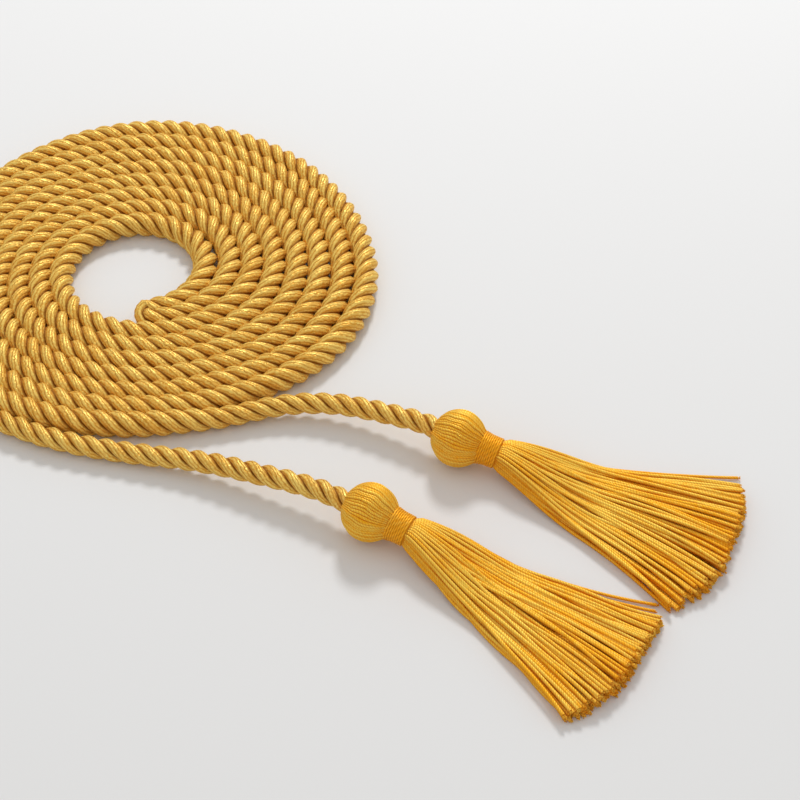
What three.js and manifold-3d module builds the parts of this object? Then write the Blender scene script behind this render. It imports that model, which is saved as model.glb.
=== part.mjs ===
// Honor cord: one twisted rope, doubled at its middle and wound flat around the fold, a tassel on each end.
// Millimetres, +Z up. The surface it lies on is Z = 0, and the origin is below the middle of its outline.
import * as THREE from "three";
import { mergeVertices } from "three/addons/utils/BufferGeometryUtils.js";
import Module from "manifold-3d";

const wasm = await Module();
wasm.setup();

// Driving dimensions, in millimetres, with angles in degrees from +X
const GAP = 0.3; // between pieces that touch on the real cord
const ROPE_ACROSS = 4.3; // the plain rope, a little under its 4.5 mm over the plies
const ROPE_SIDES = 8;

const COIL = {
  centre: [-36.1, 33.4],
  foldAngle: -77.4, // where the doubled rope starts
  foldRadius: 11.4, // from the centre to the inner strand at the fold
  windings: 8,
  pitch: 4.65, // from one winding to the next
  turnsInner: 4.0, // of the strand that is inside at the fold
  turnsOuter: 3.875,
  depthRatio: 0.97, // depth over width of the windings
  drift: [1.5, -0.4], // of the outermost winding's centre from the innermost one's
  lobes: 3, // the windings are round inside and slightly three-cornered outside
  lobeHeight: 0.032, // share of the outermost winding's radius
  lobeAngle: -22,
  stepsPerTurn: 32,
  foldSteps: 6,
};

// The free stretches, from the coil to the heads: x, y and the height of the rope's middle
const ROUTE_UPPER = [
  [-17.0, -10.5, 2.2],
  [-13.0, -9.6, 2.4],
  [-9.1, -8.6, 2.7],
  [-5.0, -7.8, 3.0],
  [-1.0, -7.5, 3.3],
  [3.1, -7.7, 3.6],
  [7.1, -8.4, 4.0],
  [11.2, -9.6, 4.3],
  [15.2, -11.1, 4.7],
  [19.2, -12.8, 5.1],
  [22.9, -14.5, 5.5],
];
const ROUTE_LOWER = [
  [-57.3, -13.2, 2.2],
  [-52.9, -15.2, 2.2],
  [-48.6, -16.7, 2.2],
  [-44.4, -17.9, 2.2],
  [-40.3, -18.9, 2.2],
  [-36.3, -19.7, 2.3],
  [-32.2, -20.6, 2.5],
  [-28.1, -21.4, 2.7],
  [-24.1, -22.2, 3.0],
  [-20.1, -23.3, 3.3],
  [-16.0, -24.6, 3.7],
  [-12.0, -26.1, 4.1],
  [-8.0, -27.7, 4.5],
  [-4.0, -29.3, 4.9],
  [-0.1, -30.9, 5.2],
  [3.8, -32.7, 5.5],
];

const HEAD = { radius: 5.75, sides: 16, bands: 8, mouth: 2.6 };
const BINDING = { length: 3.3, radiusAtHead: 3.4, radiusAtSkirt: 3.1, threads: 6, ridge: 0.18, sides: 16 };
const SKIRT = {
  locks: 9,
  rings: 9,
  bundleRadius: 2.9, // the strands where they leave the binding
  bundleLength: 2.4,
  rootSpread: 0.86, // share of the bundle's width that the locks leave from
  leaving: 0.3, // share of its length that a lock keeps its first direction, and then its last
  arriving: 0.35,
  thickness: 4.4, // of the layers of strands at the cut end
  edgeThickness: 0.55, // share of that left at the fan's two edges
  overlap: 1.14, // of one lock on the next
  corner: 0.3, // share of a lock's width or height that its corners are cut by
  landing: 0.5, // share of its length after which a lock lies flat
};

// Where the rope comes in and the skirt goes out, and the fan's cut end from its left tip to its right one
const TASSELS = {
  upper: {
    head: [30.8, -19.2],
    ropeAngle: -31,
    neckAngle: -21,
    fan: {
      leaves: -30,
      spread: 20,
      left: [86.0, -28.1],
      middle: [82.9, -42.6],
      right: [69.5, -58.7],
      ends: [-9, -51],
    },
  },
  lower: {
    head: [13.5, -38.4],
    ropeAngle: -30,
    neckAngle: -27,
    fan: {
      leaves: -40,
      spread: 15,
      left: [67.5, -60.4],
      middle: [61.1, -72.2],
      right: [48.1, -83.4],
      ends: [-19, -60],
    },
  },
};
const NECK_DIP = 9; // how far a tassel's neck points down from its head

const ropeFinish = new THREE.MeshStandardMaterial({ color: 0xd8a23c, roughness: 0.6, metalness: 0 });
const tasselFinish = new THREE.MeshStandardMaterial({ color: 0xe2a024, roughness: 0.55, metalness: 0 });
const bindingFinish = new THREE.MeshStandardMaterial({ color: 0xc98414, roughness: 0.6, metalness: 0 });

const radians = THREE.MathUtils.degToRad;

function heading(angle, dip = 0) {
  const along = new THREE.Vector3(Math.cos(radians(angle)), Math.sin(radians(angle)), 0);
  return along.multiplyScalar(Math.cos(radians(dip))).setZ(-Math.sin(radians(dip)));
}

function piece(name, geometry, material) {
  const mesh = new THREE.Mesh(geometry, material);
  mesh.name = name;
  return mesh;
}

// The coil

// A point on a strand of the double spiral, `turns` after the fold: row 0 is the inner strand, row 1 the outer
function coilPoint(row, turns) {
  const plain = COIL.foldRadius + COIL.pitch * (row + 2 * turns);
  const angle = radians(COIL.foldAngle) + 2 * Math.PI * turns;
  const outward = (plain - COIL.foldRadius) / (COIL.windings * COIL.pitch);
  const lobe = COIL.lobeHeight * Math.cos(COIL.lobes * (angle - radians(COIL.lobeAngle)));
  const radius = plain * (1 + outward * lobe);
  return new THREE.Vector3(
    COIL.centre[0] + COIL.drift[0] * outward + radius * Math.cos(angle),
    COIL.centre[1] + COIL.drift[1] * outward + COIL.depthRatio * radius * Math.sin(angle),
    ROPE_ACROSS / 2,
  );
}

// The coiled stretch as one curve: in along the outer strand, around the fold, out along the inner strand.
// Its steps are equal in angle, so the facets of neighbouring windings lie side by side.
class CoilCurve extends THREE.Curve {
  constructor() {
    super();
    this.stepsIn = Math.round(COIL.turnsOuter * COIL.stepsPerTurn);
    this.stepsOut = Math.round(COIL.turnsInner * COIL.stepsPerTurn);
    this.steps = this.stepsIn + COIL.foldSteps + this.stepsOut;
  }

  getUtoTmapping(u) {
    return u;
  }

  getPoint(t) {
    const step = t * this.steps;
    if (step <= this.stepsIn) return coilPoint(1, COIL.turnsOuter * (1 - step / this.stepsIn));
    const afterFold = step - this.stepsIn - COIL.foldSteps;
    if (afterFold >= 0) return coilPoint(0, (COIL.turnsInner * afterFold) / this.stepsOut);
    const outer = coilPoint(1, 0);
    const middle = coilPoint(0, 0).add(outer).multiplyScalar(0.5);
    const toOuter = outer.sub(middle);
    const back = new THREE.Vector3(toOuter.y, -toOuter.x, 0);
    const around = (Math.PI * (step - this.stepsIn)) / COIL.foldSteps;
    return middle.addScaledVector(toOuter, Math.cos(around)).addScaledVector(back, Math.sin(around));
  }
}

// A regular section with a flat side down, `across` wide from flat to flat
function sectionShape(across, sides) {
  const corner = across / 2 / Math.cos(Math.PI / sides);
  const points = [];
  for (let i = 0; i < sides; i++) {
    const angle = ((i + 0.5) * 2 * Math.PI) / sides;
    points.push(new THREE.Vector2(corner * Math.cos(angle), corner * Math.sin(angle)));
  }
  return new THREE.Shape(points);
}

function ropeAlong(curve, steps) {
  return new THREE.ExtrudeGeometry(sectionShape(ROPE_ACROSS, ROPE_SIDES), {
    steps,
    bevelEnabled: false,
    extrudePath: curve,
  });
}

// A free stretch, from just clear of the coil's end to just clear of the mouth in a tassel's head
function freeRope(row, turns, route, tassel) {
  const end = coilPoint(row, turns);
  const onward = end.clone().sub(coilPoint(row, turns - 0.01)).normalize();
  const mouth = Math.sqrt(HEAD.radius ** 2 - HEAD.mouth ** 2) + GAP;
  const places = [
    end.addScaledVector(onward, GAP),
    ...route.map((place) => new THREE.Vector3(...place)),
    headMiddle(tassel).addScaledVector(heading(tassel.ropeAngle), -mouth),
  ];
  return ropeAlong(new THREE.CatmullRomCurve3(places), places.length - 1);
}

// The tassels' heads and bindings, turned on a lathe about +Y

function headMiddle(tassel) {
  return new THREE.Vector3(...tassel.head, HEAD.radius * Math.cos(Math.PI / HEAD.sides));
}

// Turns +Y to the given heading, with a flat side of the lathe's rings down, and moves the piece to `place`
function layDown(geometry, sides, angle, dip, place) {
  geometry.rotateY(Math.PI / sides);
  geometry.rotateZ(-Math.PI / 2);
  geometry.rotateY(radians(dip));
  geometry.rotateZ(radians(angle));
  geometry.translate(place.x, place.y, place.z);
  return geometry;
}

// A ball with a flat mouth where the rope comes in
function headGeometry(tassel) {
  const from = Math.asin(HEAD.mouth / HEAD.radius);
  const profile = [new THREE.Vector2(0, -HEAD.radius * Math.cos(from))];
  for (let i = 0; i < HEAD.bands; i++) {
    const angle = from + ((Math.PI - from) * i) / HEAD.bands;
    profile.push(new THREE.Vector2(HEAD.radius * Math.sin(angle), -HEAD.radius * Math.cos(angle)));
  }
  profile.push(new THREE.Vector2(0, HEAD.radius));
  const ball = new THREE.LatheGeometry(profile, HEAD.sides);
  return layDown(ball, HEAD.sides, tassel.ropeAngle, 0, headMiddle(tassel));
}

// The wound thread: rounded turns side by side, with a hollow end that the head sits in
function bindingGeometry(tassel) {
  const seat = HEAD.radius + GAP;
  const start = Math.sqrt(seat ** 2 - BINDING.radiusAtHead ** 2);
  const profile = [];
  for (let i = 0; i <= 2; i++) {
    const out = (BINDING.radiusAtHead * i) / 2;
    profile.push(new THREE.Vector2(out, Math.sqrt(seat ** 2 - out ** 2)));
  }
  const halfTurns = 2 * BINDING.threads;
  for (let i = 1; i <= halfTurns; i++) {
    const along = i / halfTurns;
    const plain = THREE.MathUtils.lerp(BINDING.radiusAtHead, BINDING.radiusAtSkirt, along);
    profile.push(new THREE.Vector2(plain + (i % 2) * BINDING.ridge, start + along * BINDING.length));
  }
  profile.push(new THREE.Vector2(0, start + BINDING.length));
  const lathe = new THREE.LatheGeometry(profile, BINDING.sides);
  return layDown(lathe, BINDING.sides, tassel.neckAngle, NECK_DIP, headMiddle(tassel));
}

// The skirts

// A closed skin through rings of points that all turn the same way
function loft(rings) {
  const around = rings[0].length;
  const positions = rings.flat().flatMap((p) => [p.x, p.y, p.z]);
  const faces = [];
  for (let r = 0; r + 1 < rings.length; r++) {
    for (let i = 0; i < around; i++) {
      const a = r * around + i;
      const b = r * around + ((i + 1) % around);
      faces.push(a, b, b + around, a, b + around, a + around);
    }
  }
  const last = (rings.length - 1) * around;
  for (let i = 1; i + 1 < around; i++) {
    faces.push(0, i + 1, i);
    faces.push(last, last + i, last + i + 1);
  }
  const geometry = new THREE.BufferGeometry();
  geometry.setAttribute("position", new THREE.Float32BufferAttribute(positions, 3));
  geometry.setIndex(faces);
  return geometry;
}

function solidOf(geometry) {
  const bare = geometry.clone();
  bare.deleteAttribute("normal");
  bare.deleteAttribute("uv");
  const merged = mergeVertices(bare, 1e-3);
  return new wasm.Manifold(
    new wasm.Mesh({
      numProp: 3,
      vertProperties: merged.attributes.position.array,
      triVerts: new Uint32Array(merged.index.array),
    }),
  );
}

function geometryOf(solid) {
  const mesh = solid.getMesh();
  const geometry = new THREE.BufferGeometry();
  geometry.setAttribute("position", new THREE.BufferAttribute(mesh.vertProperties, 3));
  geometry.setIndex(new THREE.BufferAttribute(mesh.triVerts, 1));
  geometry.computeVertexNormals();
  return geometry;
}

// The cut end's outline, from its left tip at 0 to its right tip at 1
function cutEnd(fan, across) {
  const places = [fan.left, fan.middle, fan.right];
  const [left, middle, right] = places.map(([x, y]) => new THREE.Vector3(x, y, 0));
  return left
    .multiplyScalar(2 * (across - 0.5) * (across - 1))
    .addScaledVector(middle, -4 * across * (across - 1))
    .addScaledVector(right, 2 * across * (across - 0.5));
}

function cutEndLength(fan) {
  const middle = cutEnd(fan, 0.5);
  return cutEnd(fan, 0).distanceTo(middle) + middle.distanceTo(cutEnd(fan, 1));
}

// One lock, `across` the fan: it leaves the bundle beside its neighbours, spreads, and comes down to lie flat
function lock(tassel, across) {
  const fan = tassel.fan;
  const side = 1 - 2 * across;
  const neck = heading(tassel.neckAngle, NECK_DIP);
  const aside = heading(tassel.neckAngle + 90);
  const bundle = headMiddle(tassel).addScaledVector(neck, skirtStart() + SKIRT.bundleLength / 2);
  const from = bundle.clone().addScaledVector(aside, side * SKIRT.rootSpread * SKIRT.bundleRadius);
  const to = cutEnd(fan, across);
  const reach = from.distanceTo(to);
  const leaving = heading(fan.leaves + fan.spread * side);
  const ending = heading(THREE.MathUtils.lerp(fan.ends[0], fan.ends[1], across));
  const path = new THREE.CubicBezierCurve3(
    from,
    from.clone().addScaledVector(leaving, SKIRT.leaving * reach),
    to.clone().addScaledVector(ending, -SKIRT.arriving * reach),
    to,
  );
  const endWidth = (SKIRT.overlap * cutEndLength(fan)) / SKIRT.locks;
  const startWidth = (SKIRT.overlap * 2 * SKIRT.bundleRadius) / SKIRT.locks;
  const startHeight = 2 * SKIRT.bundleRadius * Math.sqrt(1 - (side * SKIRT.rootSpread) ** 2);
  const endHeight = SKIRT.thickness * THREE.MathUtils.lerp(1, SKIRT.edgeThickness, side ** 2);
  const rings = [];
  for (let r = 0; r < SKIRT.rings; r++) {
    const along = r / (SKIRT.rings - 1);
    const landed = THREE.MathUtils.smoothstep(along, 0, SKIRT.landing);
    const width = THREE.MathUtils.lerp(startWidth, endWidth, along);
    const low = (bundle.z - startHeight / 2) * (1 - landed);
    const high = THREE.MathUtils.lerp(bundle.z + startHeight / 2, endHeight, landed);
    rings.push(lockRing(path.getPoint(along), path.getTangent(along), width, low, high));
  }
  return loft(rings);
}

// An upright section across the path, with its corners cut
function lockRing(place, tangent, width, low, high) {
  const aside = new THREE.Vector3(-tangent.y, tangent.x, 0).normalize();
  const half = width / 2;
  const corner = SKIRT.corner * Math.min(width, high - low);
  const outline = [
    [half, low + corner],
    [half, high - corner],
    [half - corner, high],
    [corner - half, high],
    [-half, high - corner],
    [-half, low + corner],
    [corner - half, low],
    [half - corner, low],
  ];
  return outline.map(([out, up]) => new THREE.Vector3(place.x, place.y, up).addScaledVector(aside, out));
}

function skirtStart() {
  const seat = HEAD.radius + GAP;
  return Math.sqrt(seat ** 2 - BINDING.radiusAtHead ** 2) + BINDING.length + GAP;
}

function skirtGeometry(tassel) {
  const from = skirtStart();
  const bundleProfile = [
    new THREE.Vector2(0, from),
    new THREE.Vector2(SKIRT.bundleRadius, from),
    new THREE.Vector2(SKIRT.bundleRadius, from + SKIRT.bundleLength),
    new THREE.Vector2(0, from + SKIRT.bundleLength),
  ];
  const bundle = new THREE.LatheGeometry(bundleProfile, BINDING.sides);
  let skirt = solidOf(layDown(bundle, BINDING.sides, tassel.neckAngle, NECK_DIP, headMiddle(tassel)));
  for (let i = 0; i < SKIRT.locks; i++) {
    skirt = skirt.add(solidOf(lock(tassel, (i + 0.5) / SKIRT.locks)));
  }
  return geometryOf(skirt);
}

// The assembly

function tasselGroup(name, tassel) {
  const group = new THREE.Group();
  group.name = "tassel_" + name;
  group.add(
    piece("head_" + name, headGeometry(tassel), tasselFinish),
    piece("neck_binding_" + name, bindingGeometry(tassel), bindingFinish),
    piece("skirt_" + name, skirtGeometry(tassel), tasselFinish),
  );
  return group;
}

const honorCord = new THREE.Group();
honorCord.name = "honor_cord";
const coil = new CoilCurve();
honorCord.add(
  piece("cord_coil", ropeAlong(coil, coil.steps), ropeFinish),
  piece("cord_end_upper", freeRope(0, COIL.turnsInner, ROUTE_UPPER, TASSELS.upper), ropeFinish),
  piece("cord_end_lower", freeRope(1, COIL.turnsOuter, ROUTE_LOWER, TASSELS.lower), ropeFinish),
  tasselGroup("upper", TASSELS.upper),
  tasselGroup("lower", TASSELS.lower),
);

export default honorCord;
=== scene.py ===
import math
import random

import bpy
import numpy as np
from mathutils import Matrix, Vector


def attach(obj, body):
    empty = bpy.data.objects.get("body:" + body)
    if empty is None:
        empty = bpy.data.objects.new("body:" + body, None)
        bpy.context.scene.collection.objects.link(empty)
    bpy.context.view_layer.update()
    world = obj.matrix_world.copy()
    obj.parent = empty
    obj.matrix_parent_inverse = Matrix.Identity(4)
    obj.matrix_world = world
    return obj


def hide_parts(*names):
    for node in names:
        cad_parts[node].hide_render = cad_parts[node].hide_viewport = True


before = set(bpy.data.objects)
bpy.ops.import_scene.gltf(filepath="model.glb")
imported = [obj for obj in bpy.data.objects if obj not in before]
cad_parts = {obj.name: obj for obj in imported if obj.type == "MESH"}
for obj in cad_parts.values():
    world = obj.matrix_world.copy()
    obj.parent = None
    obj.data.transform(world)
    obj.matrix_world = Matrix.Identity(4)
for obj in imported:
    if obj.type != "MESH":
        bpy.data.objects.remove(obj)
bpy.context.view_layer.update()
MM = 0.001

# Where it is seen: on a pale matt floor, from 46 degrees above it, under one soft light high behind the cord
# and an even white room. The picture's middle is AIM, a place on the floor.
AIM = Vector((19.2, -3.3, 0.0)) * MM
CAMERA_HEIGHT_ANGLE = math.radians(46)
CAMERA_DISTANCE = 409.1 * MM
CAMERA_LENS = 90  # in millimetres, as its sensor is
CAMERA_SENSOR = 36
CAMERA_SEES = (0.01, 20)  # metres, from the nearest to the farthest
LIGHT_PLACE = Vector((0.10, 0.56, 0.56))
LIGHT_SIZE = 0.17
LIGHT_POWER = 3.15
LIGHT_COLOUR = (0.97, 0.985, 1.0)
ROOM_LIGHT = 0.66
ROOM_COLOUR = (1.0, 0.985, 0.965, 1)
FLOOR_SIZE = 6.0
FLOOR_COLOUR = (0.80, 0.80, 0.80, 1)
FLOOR_ROUGHNESS = 0.75
FLOOR_GLOSS = 0.2

scene = bpy.context.scene
scene.view_settings.view_transform = "Standard"

camera = bpy.data.objects.new("camera", bpy.data.cameras.new("camera"))
camera.data.lens = CAMERA_LENS
camera.data.sensor_width = CAMERA_SENSOR
camera.data.clip_start, camera.data.clip_end = CAMERA_SEES
back_off = Vector((0, -math.cos(CAMERA_HEIGHT_ANGLE), math.sin(CAMERA_HEIGHT_ANGLE)))
camera.location = AIM + back_off * CAMERA_DISTANCE
camera.rotation_euler = (math.pi / 2 - CAMERA_HEIGHT_ANGLE, 0, 0)
scene.collection.objects.link(camera)
scene.camera = camera

lamp = bpy.data.objects.new("soft_light", bpy.data.lights.new("soft_light", "AREA"))
lamp.data.shape = "DISK"
lamp.data.size = LIGHT_SIZE
lamp.data.energy = LIGHT_POWER
lamp.data.color = LIGHT_COLOUR
lamp.location = LIGHT_PLACE
lamp.rotation_euler = (AIM - LIGHT_PLACE).to_track_quat("-Z", "Y").to_euler()
scene.collection.objects.link(lamp)

room = bpy.data.worlds.new("white_room")
room.use_nodes = True
walls = room.node_tree.nodes["Background"].inputs
walls["Color"].default_value = ROOM_COLOUR
walls["Strength"].default_value = ROOM_LIGHT
scene.world = room

half = FLOOR_SIZE / 2
corners = [(-half, -half, 0), (half, -half, 0), (half, half, 0), (-half, half, 0)]
floor_mesh = bpy.data.meshes.new("floor")
floor_mesh.from_pydata(corners, [], [(0, 1, 2, 3)])
floor = bpy.data.objects.new("floor", floor_mesh)
scene.collection.objects.link(floor)
matt_white = bpy.data.materials.new("matt_white")
matt_white.use_nodes = True
matt = matt_white.node_tree.nodes["Principled BSDF"].inputs
matt["Base Color"].default_value = FLOOR_COLOUR
matt["Roughness"].default_value = FLOOR_ROUGHNESS
matt["Specular IOR Level"].default_value = FLOOR_GLOSS
floor.data.materials.append(matt_white)


# The rope: three plies of satin yarn laid together in a right-hand twist. It is one length, from the upper
# tassel's head around the coil to the fold at its heart, and back out to the lower tassel's head.
ROPE_ACROSS = 4.5 * MM  # over the plies
SWELL = 0.23  # how much thicker it lies in the coil, where nothing stretches it
SWELL_OVER = 20 * MM  # along the rope, into the coil and out of it
PLIES = 3
LAY = 11.4 * MM  # one whole turn of a ply around the rope
FIRST_TURN = 0.5  # radians, how far the plies are turned where the rope starts
PLY_ROUNDNESS = 0.55  # a ply's own radius, as a share of the rope's
POINTS_PER_PLY = 11
ROPE_STEP = 0.63 * MM
YARNS_PER_PLY = 5
ROPE_LIGHT = (1.0, 0.71, 0.18, 1)
# the yarns' deeper tone, which also carries the painted shade between them
ROPE_DEEP = (0.74, 0.28, 0.004, 1)
# painted shade: the darker, browner colour put down between the plies
ROPE_GROOVE_SHADE = (0.27, 0.065, 0.0004, 1)  # down between the plies
ROPE_GLOSS_TINT = (1.0, 0.78, 0.34, 1)
# The coil is a double spiral that starts at the fold, here in millimetres, degrees and turns after the fold
COIL_CENTRE = (-36.1, 33.4)
FOLD_ANGLE = -77.4
FOLD_RADIUS = 11.4  # of the inner strand at the fold
PITCH = 4.65  # from one winding to the next
WINDINGS = 8
TURNS_INNER = 4.0  # of the strand that leads to the upper tassel
TURNS_OUTER = 3.875  # of the one that leads to the lower tassel
DEPTH_RATIO = 0.97  # its depth to its width
DRIFT = (1.5, -0.4)  # of the rim's middle from the coil's centre
LOBES = 3  # it is a little three-cornered
LOBE_HEIGHT = 0.032  # share of the radius at the rim
LOBE_ANGLE = -22
SLACK = [(45, 24, 1.0), (122, 26, -0.6)]  # angle, half its reach, and millimetres outwards at the rim
LOOSE_AT = 0.32  # where the innermost winding parts from the next
LOOSE_OVER = 0.13
LOOSE_BY = 0.8
PINCH_OVER = 0.11  # the stretch in which the inner strand is pressed to the outer one
PINCH_BY = 1.5
PINCH_THINNER = 0.17  # share of the rope's thickness
PINCH_REACH = (2 * MM, 16 * MM)  # along the rope from the fold, from fully pinched to not at all
FOLD_BULGE = 0.38  # of a half circle's: the doubled rope is pressed flat on itself
FOLD_LONGER = 0.015
FOLD_STEPS = 6
COIL_STEPS_PER_TURN = 32
ROPE_MIDDLE = 2.52  # the height of the coiled rope's middle
# From the coil to the heads: x, y and the height of the rope's middle, in millimetres
ROUTE_UPPER = [
    (-17.0, -10.5, 2.4),
    (-13.0, -9.6, 2.5),
    (-9.1, -8.6, 2.7),
    (-5.0, -7.8, 3.0),
    (-1.0, -7.5, 3.3),
    (3.1, -7.7, 3.6),
    (7.1, -8.4, 4.0),
    (11.2, -9.6, 4.3),
    (15.2, -11.1, 4.7),
    (19.2, -12.8, 5.1),
    (22.9, -14.5, 5.5),
]
ROUTE_LOWER = [
    (-57.3, -13.2, 2.4),
    (-52.9, -15.2, 2.4),
    (-48.6, -16.7, 2.4),
    (-44.4, -17.9, 2.3),
    (-40.3, -18.9, 2.3),
    (-36.3, -19.7, 2.3),
    (-32.2, -20.6, 2.5),
    (-28.1, -21.4, 2.7),
    (-24.1, -22.2, 3.0),
    (-20.1, -23.3, 3.3),
    (-16.0, -24.6, 3.7),
    (-12.0, -26.1, 4.1),
    (-8.0, -27.7, 4.5),
    (-4.0, -29.3, 4.9),
    (-0.1, -30.9, 5.2),
    (3.8, -32.7, 5.5),
]
HEAD_RADIUS = 5.75
HEAD_MIDDLE_HEIGHT = HEAD_RADIUS * math.cos(math.pi / 16)
HEADS = {"upper": (30.8, -19.2, HEAD_MIDDLE_HEIGHT), "lower": (13.5, -38.4, HEAD_MIDDLE_HEIGHT)}
ROPE_ANGLES = {"upper": -31, "lower": -30}  # degrees from +X, on its way into the head
MOUTH_DEPTH = 5.1  # from the head's middle to where the rope comes out of it
ROPE_TUCK = 3.6  # from the head's middle to the rope's hidden end
COIL_STARTS_AFTER = 62 * MM  # along the rope from its upper end
COIL_ENDS_BEFORE = 98 * MM  # along the rope to its lower end


def coil_point(row, turns):
    """A place on a strand of the double spiral, so many turns after the fold: row 0 is the inner strand."""
    plain = FOLD_RADIUS + PITCH * (row + 2 * turns)
    angle = math.radians(FOLD_ANGLE) + 2 * math.pi * turns
    outward = (plain - FOLD_RADIUS) / (WINDINGS * PITCH)
    radius = plain * (1 + outward * LOBE_HEIGHT * math.cos(LOBES * (angle - math.radians(LOBE_ANGLE))))
    for middle, reach, slack in SLACK:
        away = (math.degrees(angle) - middle + 180) % 360 - 180
        radius += outward * slack * math.exp(-((away / reach) ** 2))
    if row == 0:
        radius -= LOOSE_BY * math.exp(-(((turns - LOOSE_AT) / LOOSE_OVER) ** 2))
        radius += PINCH_BY * math.exp(-((turns / PINCH_OVER) ** 2))
    x = COIL_CENTRE[0] + DRIFT[0] * outward + radius * math.cos(angle)
    y = COIL_CENTRE[1] + DRIFT[1] * outward + DEPTH_RATIO * radius * math.sin(angle)
    return x, y, ROPE_MIDDLE


def heading(angle, dip=0.0):
    """The direction at an angle from +X, dipping below the level."""
    angle, dip = math.radians(angle), math.radians(dip)
    return np.array((math.cos(dip) * math.cos(angle), math.cos(dip) * math.sin(angle), -math.sin(dip)))


def in_head(name, depth):
    """A place on the rope's line, short of a head's middle by depth."""
    return tuple(np.array(HEADS[name]) - depth * heading(ROPE_ANGLES[name]))


def fold_points():
    """The half turn from the inner strand to the outer one, between their ends."""
    inner, outer = np.array(coil_point(0, -FOLD_LONGER)), np.array(coil_point(1, -FOLD_LONGER))
    middle, to_inner = (inner + outer) / 2, (inner - outer) / 2
    back = FOLD_BULGE * np.array((-to_inner[1], to_inner[0], 0))
    angles = [math.pi * step / FOLD_STEPS for step in range(1, FOLD_STEPS)]
    return [tuple(middle + math.cos(a) * to_inner + math.sin(a) * back) for a in angles]


def smooth_path(points, step):
    """Places one step apart on a smooth curve through the points."""
    points = np.array(points)
    at = np.concatenate(([0], np.cumsum(np.linalg.norm(np.diff(points, axis=0), axis=1))))
    slope = np.gradient(points, at, axis=0)
    wanted = np.linspace(0, at[-1], round(at[-1] / step) + 1)
    gap = np.clip(np.searchsorted(at, wanted, "right") - 1, 0, len(at) - 2)
    width = (at[gap + 1] - at[gap])[:, None]
    t = (wanted - at[gap])[:, None] / width
    start = (1 + 2 * t) * (1 - t) ** 2 * points[gap] + t * (1 - t) ** 2 * width * slope[gap]
    return start + t * t * (3 - 2 * t) * points[gap + 1] + t * t * (t - 1) * width * slope[gap + 1]


def rope_route():
    """The whole rope's line, in metres, from inside the upper head to inside the lower one."""
    steps_in = round(TURNS_INNER * COIL_STEPS_PER_TURN)
    steps_out = round(TURNS_OUTER * COIL_STEPS_PER_TURN)
    points = [in_head("upper", ROPE_TUCK), in_head("upper", MOUTH_DEPTH), *reversed(ROUTE_UPPER)]
    points += [coil_point(0, step / COIL_STEPS_PER_TURN) for step in range(steps_in, -1, -1)]
    points += fold_points()
    points += [coil_point(1, step / COIL_STEPS_PER_TURN) for step in range(steps_out + 1)]
    points += [*ROUTE_LOWER, in_head("lower", MOUTH_DEPTH), in_head("lower", ROPE_TUCK)]
    return smooth_path(points, 1.0) * MM


class Wire:
    """A socket in a node tree. Sums and products of wires and numbers add their Math nodes."""

    def __init__(self, net, socket):
        self.net = net
        self.socket = socket

    def math(self, operation, *values):
        return self.net.node("ShaderNodeMath", {"operation": operation}, dict(enumerate(values)))

    def __add__(self, other):
        return self.math("ADD", self, other)

    def __sub__(self, other):
        return self.math("SUBTRACT", self, other)

    def __rsub__(self, other):
        return self.math("SUBTRACT", other, self)

    def __mul__(self, other):
        return self.math("MULTIPLY", self, other)

    def __truediv__(self, other):
        return self.math("DIVIDE", self, other)

    def __pow__(self, other):
        return self.math("POWER", self, other)

    def __abs__(self):
        return self.math("ABSOLUTE", self)

    __radd__ = __add__
    __rmul__ = __mul__

    def out(self, name):
        """Another output of the same node."""
        return Wire(self.net, self.socket.node.outputs[name])


class Net:
    """A node tree under construction, for a material or for geometry."""

    def __init__(self, tree):
        self.tree = tree

    def node(self, kind, settings=None, inputs=None, output=0):
        """Adds a node with its settings first, then its sockets' values or wires, and gives one output."""
        made = self.tree.nodes.new(kind)
        for name, value in (settings or {}).items():
            setattr(made, name, value)
        for name, value in (inputs or {}).items():
            socket = self.socket(made.inputs, name)
            for one in value if isinstance(value, list) else [value]:
                if isinstance(one, Wire):
                    self.tree.links.new(one.socket, socket)
                else:
                    socket.default_value = one
        return Wire(self, made.outputs[output])

    @staticmethod
    def socket(sockets, name):
        """The socket with that number or, of those in use, that name."""
        if isinstance(name, int):
            return sockets[name]
        return next(s for s in sockets if s.name == name and s.enabled)

    def mix(self, share, first, second):
        """A colour between two, through the Mix node's sockets for colours."""
        colours = {0: share, 6: first, 7: second}
        return self.node("ShaderNodeMix", {"data_type": "RGBA"}, colours, 2)

    def step(self, value, low, high):
        """0 below low, 1 above high and smooth between."""
        ends = {"Value": value, "From Min": low, "From Max": high}
        return self.node("ShaderNodeMapRange", {"interpolation_type": "SMOOTHSTEP"}, ends)

    def paint(self, shader, wires):
        """Leads wires to the shader's sockets of those names."""
        for name, wire in wires.items():
            self.tree.links.new(wire.socket, shader.inputs[name])


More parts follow.
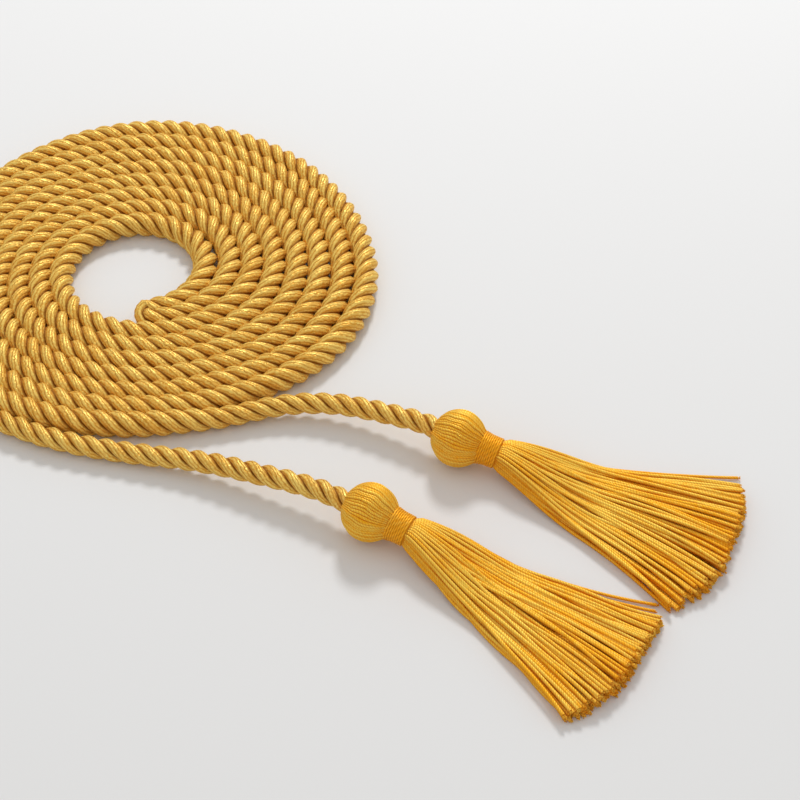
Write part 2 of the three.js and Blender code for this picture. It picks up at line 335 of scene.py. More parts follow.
class Shaper(Net):
    """A Geometry Nodes tree with named inputs for its sizes."""

    def __init__(self, name, sizes):
        super().__init__(bpy.data.node_groups.new(name, "GeometryNodeTree"))
        add = self.tree.interface.new_socket
        add(name="Geometry", in_out="INPUT", socket_type="NodeSocketGeometry")
        add(name="Geometry", in_out="OUTPUT", socket_type="NodeSocketGeometry")
        kinds = {
            float: "NodeSocketFloat",
            int: "NodeSocketInt",
            tuple: "NodeSocketVector",
            bpy.types.Material: "NodeSocketMaterial",
        }
        self.sizes = sizes
        self.identifiers = {}
        for label, value in sizes.items():
            socket = add(name=label, in_out="INPUT", socket_type=kinds[type(value)])
            self.identifiers[label] = socket.identifier
        self.given = self.tree.nodes.new("NodeGroupInput")

    def size(self, name):
        return Wire(self, self.given.outputs[name])

    def mark(self, geometry, name, value, kind="FLOAT", domain="POINT"):
        """The geometry with a value kept on it under a name."""
        kept = {"Geometry": geometry, "Name": name, "Value": value}
        return self.node("GeometryNodeStoreNamedAttribute", {"data_type": kind, "domain": domain}, kept)

    def marked(self, name, kind="FLOAT"):
        return self.node("GeometryNodeInputNamedAttribute", {"data_type": kind}, {"Name": name})

    def moved(self, geometry, position):
        return self.node("GeometryNodeSetPosition", inputs={"Geometry": geometry, "Position": position})

    def vector_math(self, operation, inputs, output=0):
        return self.node("ShaderNodeVectorMath", {"operation": operation}, inputs, output)

    def tube(self, curve, profile, radius, around_count, up=(0, 0, 1)):
        """A closed tube along a curve, with its own UV map: metres along it, and turns around it.

        The last face around goes back to the first point, which counts as a whole turn there. The tube
        also keeps how far each place lies down its side: 0 at the top, 1 at the sides and 2 below.
        """
        along_curve = self.mark(curve, "along", self.node("GeometryNodeSplineParameter").out("Length"))
        place = self.node("GeometryNodeInputPosition")
        centred = self.mark(along_curve, "centre", place, "FLOAT_VECTOR")
        section = self.mark(profile, "around", self.node("GeometryNodeInputIndex") / around_count)
        joined = {"Curve": centred, "Profile Curve": section, "Scale": radius, "Fill Caps": True}
        skin = self.node("GeometryNodeCurveToMesh", inputs=joined)
        around = self.marked("around")
        face = {"data_type": "FLOAT", "domain": "FACE"}
        on_face = self.node("GeometryNodeFieldOnDomain", face, {0: around})
        closes = self.node("ShaderNodeMath", {"operation": "COMPARE"}, {0: around, 1: 0.0, 2: 0.001})
        far = self.node("ShaderNodeMath", {"operation": "GREATER_THAN"}, {0: on_face, 1: 0.3})
        turns = around + closes * far
        mapped = self.node("ShaderNodeCombineXYZ", inputs={"X": self.marked("along"), "Y": turns})
        outwards = self.vector_math("SUBTRACT", {0: place, 1: self.marked("centre", "FLOAT_VECTOR")})
        outwards = self.vector_math("NORMALIZE", {0: outwards})
        side = 1 - self.vector_math("DOT_PRODUCT", {0: outwards, 1: up}, "Value")
        return self.mark(self.mark(skin, "side", side), "UVMap", mapped, "FLOAT2", "CORNER")

    def ring(self, points):
        """A round section of radius 1, to be scaled."""
        return self.node(
            "GeometryNodeCurvePrimitiveCircle", {"mode": "RADIUS"}, {"Resolution": points, "Radius": 1.0}
        )

    def finish(self, geometry, material):
        smooth = self.node("GeometryNodeSetShadeSmooth", inputs={"Geometry": geometry})
        real = self.node("GeometryNodeRealizeInstances", inputs={"Geometry": smooth})
        dressed = self.node("GeometryNodeSetMaterial", inputs={"Geometry": real, "Material": material})
        end = self.tree.nodes.new("NodeGroupOutput")
        self.tree.links.new(dressed.socket, end.inputs[0])


def lines_mesh(name, lines):
    """A mesh of open lines, each given as its points."""
    points, edges = [], []
    for line in lines:
        edges += [(len(points) + i, len(points) + i + 1) for i in range(len(line) - 1)]
        points += [tuple(point) for point in line]
    mesh = bpy.data.meshes.new(name)
    mesh.from_pydata(points, edges, [])
    return mesh


def shaped(name, start, shaper, place=None):
    """The plain mesh that a Geometry Nodes tree makes from a starting mesh, riding on the cord's one body."""
    holder = bpy.data.objects.new(name + "_start", start)
    scene.collection.objects.link(holder)
    modifier = holder.modifiers.new("shape", "NODES")
    modifier.node_group = shaper.tree
    for label, value in shaper.sizes.items():
        modifier[shaper.identifiers[label]] = value
    seen = bpy.context.evaluated_depsgraph_get()
    mesh = bpy.data.meshes.new_from_object(
        holder.evaluated_get(seen), preserve_all_data_layers=True, depsgraph=seen
    )
    mesh.name = name
    if place:
        mesh.transform(place)
    holder.modifiers.clear()
    bpy.data.objects.remove(holder)
    made = bpy.data.objects.new(name, mesh)
    scene.collection.objects.link(made)
    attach(made, "root")
    return made


def new_finish(name):
    """A material's node tree with its shader, ready for what varies over the surface."""
    material = bpy.data.materials.new(name)
    material.use_nodes = True
    return material, Net(material.node_tree), material.node_tree.nodes["Principled BSDF"]


def rope_finish():
    """Satin yarn in mustard gold: fine yarns along each ply, with painted shade, darker and browner, down
    between the plies.
    """
    material, net, shader = new_finish("satin_rope")
    place = net.node("ShaderNodeUVMap", {"uv_map": "UVMap"})
    parts = net.node("ShaderNodeSeparateXYZ", inputs={0: place})
    along, around = parts / LAY, parts.out("Y")
    patch = net.node("ShaderNodeTexCoord").out("Object")
    mottle = net.node("ShaderNodeTexNoise", {}, {"Vector": patch, "Scale": 260.0, "Detail": 3.0})
    wander = net.node("ShaderNodeTexNoise", {}, {"Vector": patch, "Scale": 1200.0, "Detail": 2.0})
    grain = net.node("ShaderNodeTexNoise", {}, {"Vector": patch, "Scale": 1900.0, "Detail": 2.0})
    yarns = around * (PLIES * YARNS_PER_PLY) + along * 3.0 + wander
    ridge = abs(yarns.math("SINE", yarns * math.pi))
    across_ply = abs(around.math("FRACT", around * PLIES) - 0.5) * 2
    groove = net.step(across_ply, 0.70, 1.0)
    # painted shade: dark lines down between the fine yarns, mixed toward the deep tone
    line = 1 - ridge ** 0.7
    strip = net.node("ShaderNodeCombineXYZ", inputs={"X": around.math("FLOOR", yarns), "Y": along * 2.0})
    strips = {"Vector": strip, "Scale": 0.7, "Detail": 0.0}
    tone = net.node("ShaderNodeTexNoise", {"noise_dimensions": "2D"}, strips)
    yarn_colour = net.mix(line * (net.step(mottle, 0.3, 0.6) * 0.4 + 0.55), ROPE_LIGHT, ROPE_DEEP)
    shade = net.step(tone * 0.35 + mottle * 0.15 + grain * 0.6, 0.42, 0.62)
    varied = net.mix(shade, net.mix(0.5, yarn_colour, ROPE_DEEP), yarn_colour)
    # painted shade, darker and browner, in the grooves between the plies
    colour = net.mix(groove * 0.95, varied, ROPE_GROOVE_SHADE)
    height = ridge ** 0.6 * 0.55 + grain * 0.6 - groove * 0.5
    bump = net.node("ShaderNodeBump", {}, {"Strength": 0.9, "Distance": 0.3 * MM, "Height": height})
    net.paint(shader, {"Base Color": colour, "Normal": bump, "Roughness": 0.41 - ridge * 0.06 + groove * 0.4})
    shader.inputs["Metallic"].default_value = 0.35
    shader.inputs["Specular IOR Level"].default_value = 0.55
    shader.inputs["Specular Tint"].default_value = ROPE_GLOSS_TINT
    return material


def rope_shaper(finish):
    """A lobed section, one lobe for each ply, swept along the rope's line and turned once in each lay."""
    sizes = {
        "Radius": ROPE_ACROSS / 2,
        "Swell": SWELL,
        "Swell Over": SWELL_OVER,
        "Coil Starts": COIL_STARTS_AFTER,
        "Coil Ends": ROPE_LENGTH - COIL_ENDS_BEFORE,
        "Fold At": FOLD_AT,
        "Pinch": PINCH_THINNER,
        "Fully Pinched To": PINCH_REACH[0],
        "Pinched To": PINCH_REACH[1],
        "Plies": PLIES,
        "Points Around": PLIES * POINTS_PER_PLY,
        "Ply Roundness": PLY_ROUNDNESS,
        "Lay": LAY,
        "First Turn": FIRST_TURN,
        "Step": ROPE_STEP,
        "Finish": finish,
    }
    net = Shaper("laid_rope", sizes)
    line = net.node("GeometryNodeMeshToCurve", inputs={"Mesh": net.size("Geometry")})
    steps = {"Curve": line, "Length": net.size("Step")}
    even = net.node("GeometryNodeResampleCurve", {"mode": "LENGTH"}, steps)
    level = net.node("GeometryNodeSetCurveNormal", {"mode": "Z_UP"}, {"Curve": even})
    length = net.node("GeometryNodeSplineParameter").out("Length")
    turn = length / net.size("Lay") * (2 * math.pi) + net.size("First Turn")
    twisted = net.node("GeometryNodeSetCurveTilt", inputs={"Curve": level, "Tilt": turn})
    share = net.node("GeometryNodeInputIndex") / net.size("Points Around") * net.size("Plies")
    turned = (share.math("FRACT", share) - 0.5) * (2 * math.pi) / net.size("Plies")
    roundness = net.size("Ply Roundness")
    out = 1 - roundness
    sideways = out * turned.math("SINE", turned)
    reach = out * turned.math("COSINE", turned) + (roundness * roundness - sideways * sideways) ** 0.5
    lobed = net.vector_math("SCALE", {0: net.node("GeometryNodeInputPosition"), "Scale": reach})
    section = net.moved(net.ring(net.size("Points Around")), lobed)
    coil_starts, coil_ends = net.size("Coil Starts"), net.size("Coil Ends")
    entering = net.step(length, coil_starts - net.size("Swell Over"), coil_starts)
    coiled = entering - net.step(length, coil_ends, coil_ends + net.size("Swell Over"))
    from_fold = abs(length - net.size("Fold At"))
    pinched = 1 - net.step(from_fold, net.size("Fully Pinched To"), net.size("Pinched To"))
    radius = net.size("Radius") * (1 + net.size("Swell") * coiled - net.size("Pinch") * pinched)
    laid = net.tube(twisted, section, radius, net.size("Points Around"))
    parts = net.node("ShaderNodeSeparateXYZ", inputs={0: net.node("GeometryNodeInputPosition")})
    on_floor = parts.math("MAXIMUM", parts.out("Z"), 0.0)
    pressed = net.node("ShaderNodeCombineXYZ", inputs={"X": parts, "Y": parts.out("Y"), "Z": on_floor})
    net.finish(net.moved(laid, pressed), net.size("Finish"))
    return net


route = rope_route()
ROPE_LENGTH = float(np.linalg.norm(np.diff(route, axis=0), axis=1).sum())
fold_middle = (np.array(coil_point(0, 0)) + np.array(coil_point(1, 0))) / 2 * MM
fold_index = int(np.argmin(np.linalg.norm(route - fold_middle, axis=1)))
FOLD_AT = ROPE_LENGTH * fold_index / (len(route) - 1)
rope = shaped("rope", lines_mesh("rope_line", [route]), rope_shaper(rope_finish()))
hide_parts("cord_coil", "cord_end_upper", "cord_end_lower")


# The heads: a hard round core dressed with one layer of spun yarn, which runs over it from the rope's mouth
# to the neck and on under the winding there.
BALL_YARNS = 58
BALL_LINE_RADIUS = 5.5  # to the middle of the yarn
BALL_LINE_POINTS = 20
BALL_LINE_STEP = 0.62
MOUTH_ANGLE = 25  # from the rope's line, seen from the head's middle
SHOULDER_ANGLE = 138
MOUTH_TUCK = (2.2, -4.2)  # a yarn's hidden start: outwards from the head's line, along it
NECK_LINE = [(3.2, 4.75), (2.88, 5.3), (2.8, 6.6), (2.75, 8.2)]  # the same, on its way into the neck
YARN_CROWDING = 1.16  # a yarn's width, as a share of its room
NECK_ANGLES = {"upper": -21, "lower": -27}  # degrees from +X
NECK_DIP = 9  # degrees below the level
GOLD = (1.0, 0.68, 0.11, 1)
ORANGE = (1.0, 0.47, 0.02, 1)
# the tassel yarn's painted shade colour
SHADED_ORANGE = (0.70, 0.25, 0.003, 1)
YARN_GLOSS_TINT = (1.0, 0.74, 0.25, 1)


def yarn_finish(name, light, middle, dark, plies, lay):
    """Satin yarn spun from a few plies, in beads where they cross over: painted shade between the beads, down
    each strand's sides and underside, and at a cut end.
    """
    material, net, shader = new_finish(name)
    parts = net.node("ShaderNodeSeparateXYZ", inputs={0: net.node("ShaderNodeUVMap", {"uv_map": "UVMap"})})
    along, around = parts, parts.out("Y")
    patch = net.node("ShaderNodeTexCoord").out("Object")
    cloud = net.node("ShaderNodeTexNoise", {}, {"Vector": patch, "Scale": 95.0, "Detail": 2.0})
    grain = net.node("ShaderNodeTexNoise", {}, {"Vector": patch, "Scale": 1700.0, "Detail": 2.0})
    own = net.node("ShaderNodeAttribute", {"attribute_name": "own_tone"}, output="Fac")
    cut = net.node("ShaderNodeAttribute", {"attribute_name": "cut"}, output="Fac")
    side = net.node("ShaderNodeAttribute", {"attribute_name": "side"}, output="Fac")
    # painted shade between the beads where the plies cross over, in the dark colour
    bead = abs(around.math("SINE", (around - along / lay + own * 9.0) * (plies * math.pi))) ** 0.6
    shade = net.step(cloud * 0.5 + own * 0.25 + grain * 0.55, 0.42, 0.86)
    lit = net.mix(shade, middle, light)
    # painted shade: each strand or yarn darkened down its sides and underside, away from its outer face
    between = net.step(side, 0.2, 0.9)
    colour = net.mix((1 - bead) * 0.6, net.mix(between * 0.55, lit, dark), dark)
    # painted shade near a cut end
    ended = net.mix(cut * 0.12, colour, dark)
    height = bead + grain * 0.7
    bump = net.node("ShaderNodeBump", {}, {"Strength": 0.7, "Distance": 0.07 * MM, "Height": height})
    net.paint(shader, {"Base Color": ended, "Normal": bump, "Roughness": 0.48 - bead * 0.1 + cut * 0.3})
    shader.inputs["Metallic"].default_value = 0.3
    shader.inputs["Specular IOR Level"].default_value = 0.15
    shader.inputs["Specular Tint"].default_value = YARN_GLOSS_TINT
    return material


def neck_place(name, direction):
    """Turns +Z to a direction and moves the origin to a head's middle."""
    turned = Vector(direction).to_track_quat("Z", "Y").to_matrix().to_4x4()
    return Matrix.Translation(Vector(HEADS[name]) * MM) @ turned


def ball_line():
    """One yarn's line over the head, in metres: outwards from the head's own line, and along it."""
    angles = np.radians(np.linspace(MOUTH_ANGLE, SHOULDER_ANGLE, BALL_LINE_POINTS))
    over_core = [(BALL_LINE_RADIUS * math.sin(a), -BALL_LINE_RADIUS * math.cos(a)) for a in angles]
    points = [(out, 0, along) for out, along in [MOUTH_TUCK, *over_core, *NECK_LINE]]
    return smooth_path(points, BALL_LINE_STEP) * MM


def ball_shaper(finish, bend, bend_axis):
    """Yarns side by side around the head's line, which bends from the rope's direction to the neck's."""
    sizes = {
        "Yarns": BALL_YARNS,
        "Crowding": YARN_CROWDING,
        "Sides": 6,
        "Core Radius": 5.3 * MM,
        "Unevenness": 0.045,
        "Wander": 0.13,
        "Wander Scale": 330.0,
        "Bend": bend,
        "Bend Axis": bend_axis,
        "Bend Reach": BALL_LINE_RADIUS * MM,
        "Seed": 5,
        "Finish": finish,
    }
    net = Shaper("dressed_head", sizes)
    line = net.node("GeometryNodeMeshToCurve", inputs={"Mesh": net.size("Geometry")})
    start = net.node("GeometryNodeInputPosition")
    outward = net.node("ShaderNodeSeparateXYZ", inputs={0: start})
    radius = outward * math.pi / net.size("Yarns") * net.size("Crowding")
    from_core = net.vector_math("NORMALIZE", {0: start})
    yarn = net.tube(line, net.ring(net.size("Sides")), radius, net.size("Sides"), from_core)
    spots = net.node("GeometryNodePoints", inputs={"Count": net.size("Yarns")})
    turn = net.node("GeometryNodeInputIndex") / net.size("Yarns") * (2 * math.pi)
    around = net.node("FunctionNodeAxisAngleToRotation", {}, {"Axis": (0, 0, 1), "Angle": turn})
    uneven = {"Min": 1 - net.size("Unevenness"), "Max": 1.0, "Seed": net.size("Seed") + 1}
    lift = net.node("FunctionNodeRandomValue", {"data_type": "FLOAT"}, uneven, 1)
    placed = {"Points": spots, "Instance": yarn, "Rotation": around, "Scale": lift}
    yarns = net.node("GeometryNodeInstanceOnPoints", inputs=placed)
    tone = net.node("FunctionNodeRandomValue", {"data_type": "FLOAT"}, {"Seed": net.size("Seed")}, 1)
    toned = net.mark(yarns, "own_tone", tone, domain="INSTANCE")
    loose = net.node("GeometryNodeRealizeInstances", inputs={"Geometry": toned})
    waves = {"Vector": start, "Scale": net.size("Wander Scale"), "Detail": 1.0}
    drift = net.node("ShaderNodeTexNoise", {}, waves) - 0.5
    swing = {"Vector": start, "Angle": drift * net.size("Wander") * 2}
    swung = net.node("ShaderNodeVectorRotate", {"rotation_type": "Z_AXIS"}, swing)
    laid = net.moved(loose, swung)
    core = net.node(
        "GeometryNodeMeshUVSphere", inputs={"Segments": 32, "Rings": 16, "Radius": net.size("Core Radius")}
    )
    whole = net.node("GeometryNodeJoinGeometry", inputs={"Geometry": [laid, core]})
    height = net.node("ShaderNodeSeparateXYZ", inputs={0: start}).out("Z")
    from_middle = {"Value": height / net.size("Bend Reach"), "Min": -1.0, "Max": 1.0}
    share = net.node("ShaderNodeClamp", {}, from_middle)
    bending = {"Vector": start, "Axis": net.size("Bend Axis"), "Angle": share * net.size("Bend")}
    net.finish(net.moved(whole, net.node("ShaderNodeVectorRotate", {}, bending)), net.size("Finish"))
    return net


tassel_yarn = yarn_finish("tassel_yarn", GOLD, ORANGE, SHADED_ORANGE, plies=3, lay=1.7 * MM)
for name in HEADS:
    rope_in = Vector(heading(ROPE_ANGLES[name]))
    neck_out = Vector(heading(NECK_ANGLES[name], NECK_DIP))
    place = neck_place(name, (rope_in + neck_out).normalized())
    bend_axis = place.to_3x3().inverted() @ rope_in.cross(neck_out).normalized()
    shaper = ball_shaper(tassel_yarn, rope_in.angle(neck_out) / 2, tuple(bend_axis))
    head = shaped("ball_" + name, lines_mesh("ball_line", [ball_line()]), shaper, place)
    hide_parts("head_" + name)


# The neck windings: one thread wound tightly around the yarns' neck, turn beside turn, which holds the
# head's dressing and the fringe's strands together.
WRAP_START = 4.5 * MM  # from the head's middle, along the neck
WRAP_LENGTH = 3.9 * MM
WRAP_TURNS = 9.3
WRAP_RADIUS_AT_HEAD = 3.05 * MM
WRAP_RADIUS_AT_FRINGE = 2.98 * MM
WRAP_THREAD = 0.43 * MM
WRAP_CROWDING = 0.54  # the thread's radius as a share of its width, so its turns press together
WRAP_FLARE = 0.10  # how much wider its first turns lie, against the head
WRAP_FLARE_REACH = (-0.1, 0.5)  # shares of its length, from the full flare to none
DEEP_GOLD = (1.0, 0.66, 0.11, 1)
DEEP_ORANGE = (1.0, 0.46, 0.022, 1)
# the neck thread's painted shade colour
DEEP_SHADED_ORANGE = (0.58, 0.19, 0.003, 1)


def wrap_shaper(finish):
    """A helix of thread over the plain bundle of yarns that it holds."""
    sizes = {
        "Turns": WRAP_TURNS,
        "Start": WRAP_START,
        "Length": WRAP_LENGTH,
        "Radius at Head": WRAP_RADIUS_AT_HEAD,
        "Radius at Fringe": WRAP_RADIUS_AT_FRINGE,
        "Thread": WRAP_THREAD,
        "Crowding": WRAP_CROWDING,
        "Flare": WRAP_FLARE,
        "Steps per Turn": 40,
        "Sides": 8,
        "Finish": finish,
    }
    net = Shaper("neck_winding", sizes)
    winding = {
        "Start Radius": net.size("Radius at Head"),
        "End Radius": net.size("Radius at Fringe"),
        "Resolution": net.size("Steps per Turn"),
        "Rotations": net.size("Turns"),
        "Height": net.size("Length"),
    }
    helix = net.node("GeometryNodeCurveSpiral", inputs=winding)
    place = net.node("GeometryNodeInputPosition")
    from_head = net.node("ShaderNodeSeparateXYZ", inputs={0: place}).out("Z") / net.size("Length")
    wider = 1 + net.size("Flare") * (1 - net.step(from_head, *WRAP_FLARE_REACH))
    scale = net.node("ShaderNodeCombineXYZ", inputs={"X": wider, "Y": wider, "Z": 1.0})
    flared = net.moved(helix, net.vector_math("MULTIPLY", {0: place, 1: scale}))
    from_line = net.vector_math("NORMALIZE", {0: net.vector_math("MULTIPLY", {0: place, 1: (1, 1, 0)})})
    radius = net.size("Thread") * net.size("Crowding")
    thread = net.tube(flared, net.ring(net.size("Sides")), radius, net.size("Sides"), from_line)
    height = net.node("ShaderNodeCombineXYZ", inputs={"Z": net.size("Start")})
    wound = net.node("GeometryNodeTransform", inputs={"Geometry": thread, "Translation": height})
    bundle_sizes = {"Vertices": 32, "Radius": net.size("Radius at Fringe"), "Depth": net.size("Length")}
    bundle = net.node("GeometryNodeMeshCylinder", inputs=bundle_sizes)
    middle = net.node("ShaderNodeCombineXYZ", inputs={"Z": net.size("Start") + net.size("Length") / 2})
    inside = net.node("GeometryNodeTransform", inputs={"Geometry": bundle, "Translation": middle})
    whole = net.node("GeometryNodeJoinGeometry", inputs={"Geometry": [wound, inside]})
    net.finish(whole, net.size("Finish"))
    return net


binding_thread = yarn_finish("binding_thread", DEEP_GOLD, DEEP_ORANGE, DEEP_SHADED_ORANGE, plies=2, lay=2.6 * MM)
for name in HEADS:
    place = neck_place(name, heading(NECK_ANGLES[name], NECK_DIP))
    start = lines_mesh("wrap_start", [])
    wrap = shaped("neck_wrap_" + name, start, wrap_shaper(binding_thread), place)
    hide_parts("neck_binding_" + name)


# The fringes: about 180 strands of spun yarn in each, held in the neck winding and fanned out on the surface
# in layers, cut off bluntly along a curve, with the fibres coming loose at the cut.
LAYERS = (40, 38, 37, 36, 35)  # strands in each, from the surface up
LOWEST_MIDDLE = 0.47  # the height of the lowest strands' middles
LAYER_HEIGHT = 0.70
EDGE_LOWER = 0.45  # share by which the layers lie lower along the fan's edges
EDGE_CROWDING = 0.22  # how much closer together they lie along the fan's edges
LAYER_INSET = 0.012  # share of the fan's width, at either side, that each layer stops short of the last
STRAND_JITTER = (0.2, 0.3)  # share of a strand's room, in the two lowest layers and above them
ROOT_SPREAD = 2.5  # of the strands' middles from the neck's line
ROOT_ROUNDNESS = 0.9
ROOT_LEVELS = 2.2  # from the bundle's lowest layer to its highest, where its radius is 1
ROOT_STAGGER = 0.24  # how much lower each next one of three strands leaves, where the radius is 1
ROOT_LOWEST = -0.88
NECK_END = 8.5  # from the head's middle
ROOTS = [(-0.7, 0.96), (0.15, 1.03), (1.2, 1.26)]  # past the neck's end, and share of ROOT_SPREAD there
PULLS = (0.3, 0.35)  # shares of its reach over which a strand keeps its first and last directions
LANDING = 0.5  # share of its length after which a strand lies flat
STRAND_POINTS = 30
CROSSING_CHANCE = 0.1  # of a strand that crosses others, for each layer up
CROSSING_REACH = 0.2  # to either side, share of the fan's width
CROSSING_LIFT = 0.5  # layers
WANDER = 0.008  # of a strand's end, share of the fan's width
FAN_EDGE = 0.004  # the nearest to the fan's edges that a strand ends, share of the fan's width
UNEVENNESS = 0.15  # layers
SHORTER_BY = (0, 1.1)  # than the fan's cut
SHORTER_PER_LAYER = 0.08
SWAY_BY = (0.1, 0.5)  # how far a strand snakes
SWAY_WAVES = (1.5, 4)
STRAY_ROOTS = [(0.95, 0.1), (0.9, 0.45)]  # aside and up in the bundle
STRAY_HEIGHT = 0.5
STRAY_SWAY = (0.15, 2, 0)  # how far, its waves and phase
# painted shade at the strands' cut ends, which also roughens them there
CUT_SHADE_REACH = (0.1 * MM, 0.6 * MM)  # from the cut end, from full to none
THICKENING = (0.03, 0.5)  # shares of a strand's length
# Each fan, in millimetres and degrees: it leaves the neck in one direction and spreads to either side of it.
# Its cut is an arc through three places, bowed out between them, and its outer strands end in two directions.
FANS = {
    "upper": {
        "leaves": -30,
        "spread": (20, 18),
        "cut": [(86.0, -28.8), (82.9, -42.6), (69.5, -58.7)],
        "bow": (0.0, 1.7),
        "ends": (-8, -55),
        "strays": [((85.7, -25.1), -3), ((83.9, -26.7), -5)],
        "seed": 11,
    },
    "lower": {
        "leaves": -40,
        "spread": (20, 15),
        "cut": [(67.7, -61.0), (61.4, -72.5), (48.1, -83.4)],
        "bow": (-0.8, 0.9),
        "ends": (-19, -60),
        "strays": [((66.9, -56.7), -12), ((66.4, -58.2), -15)],
        "seed": 23,
    },
}


def eased(share):
    """0 up to a share of 0, 1 from 1 on and smooth between."""
    share = min(max(share, 0), 1)
    return share * share * (3 - 2 * share)


def strand_line(name, side, up, end, ending, end_height, sway):
    """One strand's line: out of the neck, spreading, and down to lie flat.

    side and up run from -1 to 1 in the bundle, and sway is how far the strand snakes, its waves and phase.
    """
    fan = FANS[name]
    neck = heading(NECK_ANGLES[name], NECK_DIP)
    aside = heading(NECK_ANGLES[name] + 90)
    offset = ROOT_SPREAD * (side * aside + up * np.cross(neck, aside))
    roots = [np.array(HEADS[name]) + (NECK_END + past) * neck + share * offset for past, share in ROOTS]
    *held, start = roots
    flat_end = np.array((*end, start[2]))
    reach = np.linalg.norm(flat_end - start)
    first = start + PULLS[0] * reach * heading(fan["leaves"] + fan["spread"][side < 0] * side)
    last = flat_end - PULLS[1] * reach * heading(ending)
    across = heading(ending + 90)
    by, waves, phase = sway
    line = []
    for t in np.linspace(0, 1, STRAND_POINTS - len(held)):
        point = (1 - t) ** 3 * start + 3 * t * (1 - t) ** 2 * first
        point = point + 3 * t * t * (1 - t) * last + t ** 3 * flat_end
        point[2] = start[2] + (end_height - start[2]) * eased(t / LANDING)
        snaking = by * math.sin(waves * t * math.pi + phase) * math.sin(math.pi * min(t * 2, 1) / 2)
        line.append(point + snaking * across)
    return [*held, *line]


def cut_end(name, across, ending):
    """A place on the fan's cut end, from its far tip at 0 to its near one at 1."""
    far, middle, near = [np.array(place) for place in FANS[name]["cut"]]
    far_share, near_share = 2 * (across - 0.5) * (across - 1), 2 * across * (across - 0.5)
    plain = far_share * far - 4 * across * (across - 1) * middle + near_share * near
    bow = FANS[name]["bow"][across > 0.5] * abs(math.sin(2 * math.pi * across))
    return plain + bow * heading(ending)[:2]


def fringe_lines(name):
    """The lines of all strands, layer by layer from the surface up, and then those of the strays."""
    fan = FANS[name]
    chance = random.Random(fan["seed"])
    lines = []
    for layer, count in enumerate(LAYERS):
        margin = LAYER_INSET * layer
        jitter = STRAND_JITTER[layer > 1]
        for i in range(count):
            plain = margin + (1 - 2 * margin) * (i + 0.5 + chance.uniform(-jitter, jitter)) / count
            across = plain - EDGE_CROWDING * math.sin(2 * math.pi * plain) / (2 * math.pi)
            side = 1 - 2 * plain
            level = ROOT_LEVELS * ((layer + 0.5) / len(LAYERS) - 0.5) - ROOT_STAGGER * (i % 3)
            up = max(level, ROOT_LOWEST) * math.sqrt(1 - (ROOT_ROUNDNESS * side) ** 2)
            crosses = layer > 1 and chance.random() < CROSSING_CHANCE * layer
            crossing = chance.uniform(-CROSSING_REACH, CROSSING_REACH) * crosses
            landed = across + chance.gauss(0, WANDER) + crossing
            landed = min(max(landed, FAN_EDGE), 1 - FAN_EDGE)
            edge = 1 - EDGE_LOWER * (1 - 2 * landed) ** 2
            uneven = chance.uniform(-UNEVENNESS, UNEVENNESS) * (layer > 0) + CROSSING_LIFT * crosses
            height = LOWEST_MIDDLE + (layer + uneven) * LAYER_HEIGHT * edge
            ending = fan["ends"][0] + (fan["ends"][1] - fan["ends"][0]) * landed
            shorter = chance.uniform(*SHORTER_BY) + SHORTER_PER_LAYER * layer
            end = cut_end(name, landed, ending) - shorter * heading(ending)[:2]
            sway = (chance.uniform(*SWAY_BY), chance.uniform(*SWAY_WAVES), chance.uniform(0, 2 * math.pi))
            lines.append(strand_line(name, side, up, end, ending, height, sway))
    for (end, ending), (side, up) in zip(fan["strays"], STRAY_ROOTS):
        lines.append(strand_line(name, side, up, end, ending, STRAY_HEIGHT, STRAY_SWAY))
    return [np.array(line) * MM for line in lines]


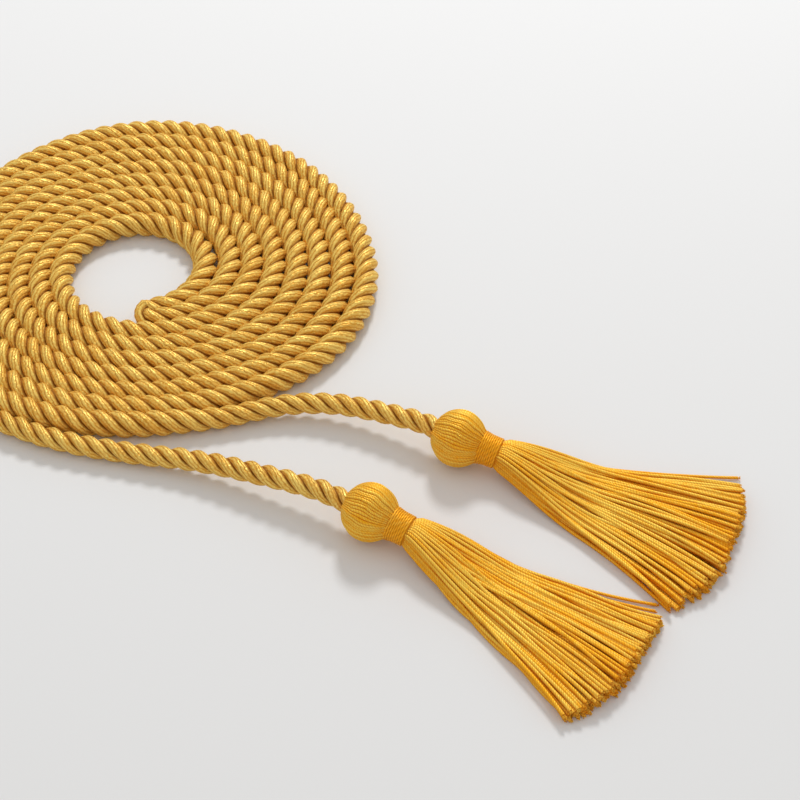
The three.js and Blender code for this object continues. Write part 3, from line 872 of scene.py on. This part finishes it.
def fringe_shaper(finish):
    """Strands that thicken as they leave the neck, each with a few loose fibres at its cut end."""
    sizes = {
        "Root Radius": 0.32 * MM,
        "Radius": 0.39 * MM,
        "Strays From": sum(LAYERS),
        "Stray Thinness": 0.2,
        "Sides": 8,
        "Fibres": 14,
        "Fibre Length": 0.3 * MM,
        "Fibre Radius": 0.08 * MM,
        "Fibre Scatter": 0.6,
        "Fibre Splay": 0.1,
        "Seed": 3,
        "Finish": finish,
    }
    net = Shaper("fringe_strands", sizes)
    lines = net.node("GeometryNodeMeshToCurve", inputs={"Mesh": net.size("Geometry")})
    place = net.node("GeometryNodeSplineParameter")
    from_end = net.node("GeometryNodeSplineLength") - place.out("Length")
    # how near the cut end a place lies, for its painted shade and rougher finish
    cut = 1 - net.step(from_end, *CUT_SHADE_REACH)
    strand = net.node("GeometryNodeCurveOfPoint")
    tone_inputs = {"ID": strand, "Seed": net.size("Seed")}
    tone = net.node("FunctionNodeRandomValue", {"data_type": "FLOAT"}, tone_inputs, 1)
    toned = net.mark(net.mark(lines, "cut", cut), "own_tone", tone)
    swell = net.step(place, *THICKENING)
    stray = strand.math("GREATER_THAN", strand, net.size("Strays From") - 0.5)
    grown = net.size("Root Radius") + swell * (net.size("Radius") - net.size("Root Radius"))
    radius = grown * (1 - net.size("Stray Thinness") * stray)
    strands = net.tube(toned, net.ring(net.size("Sides")), radius, net.size("Sides"))
    last = net.node("GeometryNodeCurveEndpointSelection", inputs={"Start Size": 0, "End Size": 1})
    pointed = net.mark(toned, "pointing", net.node("GeometryNodeInputTangent"), "FLOAT_VECTOR")
    ended = net.mark(pointed, "ends_here", last, "BOOLEAN")
    spots = net.node("GeometryNodeCurveToPoints", {"mode": "EVALUATED"}, {"Curve": ended})
    ends_here = net.marked("ends_here", "BOOLEAN")
    many = {"Geometry": spots, "Selection": ends_here, "Amount": net.size("Fibres")}
    roots = net.node("GeometryNodeDuplicateElements", {"domain": "POINT"}, many)
    any_way = {"Min": (-1, -1, -1), "Max": (1, 1, 1), "Seed": net.size("Seed")}
    loose = net.node("FunctionNodeRandomValue", {"data_type": "FLOAT_VECTOR"}, any_way)
    aside = net.vector_math("SCALE", {0: loose, "Scale": net.size("Radius") * net.size("Fibre Scatter")})
    scattered = net.node("GeometryNodeSetPosition", inputs={"Geometry": roots, "Offset": aside})
    splay = net.vector_math("SCALE", {0: loose, "Scale": net.size("Fibre Splay")})
    lean = net.vector_math("ADD", {0: net.marked("pointing", "FLOAT_VECTOR"), 1: splay})
    turned = net.node("FunctionNodeAlignRotationToVector", {"axis": "Z"}, {"Vector": lean})
    fibre_sizes = {
        "Vertices": 3,
        "Radius Top": net.size("Fibre Radius"),
        "Radius Bottom": net.size("Fibre Radius"),
        "Depth": net.size("Fibre Length"),
    }
    fibre = net.node("GeometryNodeMeshCone", inputs=fibre_sizes)
    placed = {"Points": scattered, "Instance": fibre, "Rotation": turned}
    fibres = net.node("GeometryNodeInstanceOnPoints", inputs=placed)
    whole = net.node("GeometryNodeJoinGeometry", inputs={"Geometry": [strands, fibres]})
    net.finish(whole, net.size("Finish"))
    return net


for name in HEADS:
    start = lines_mesh("fringe_lines", fringe_lines(name))
    fringe = shaped("fringe_" + name, start, fringe_shaper(tassel_yarn))
    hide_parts("skirt_" + name)
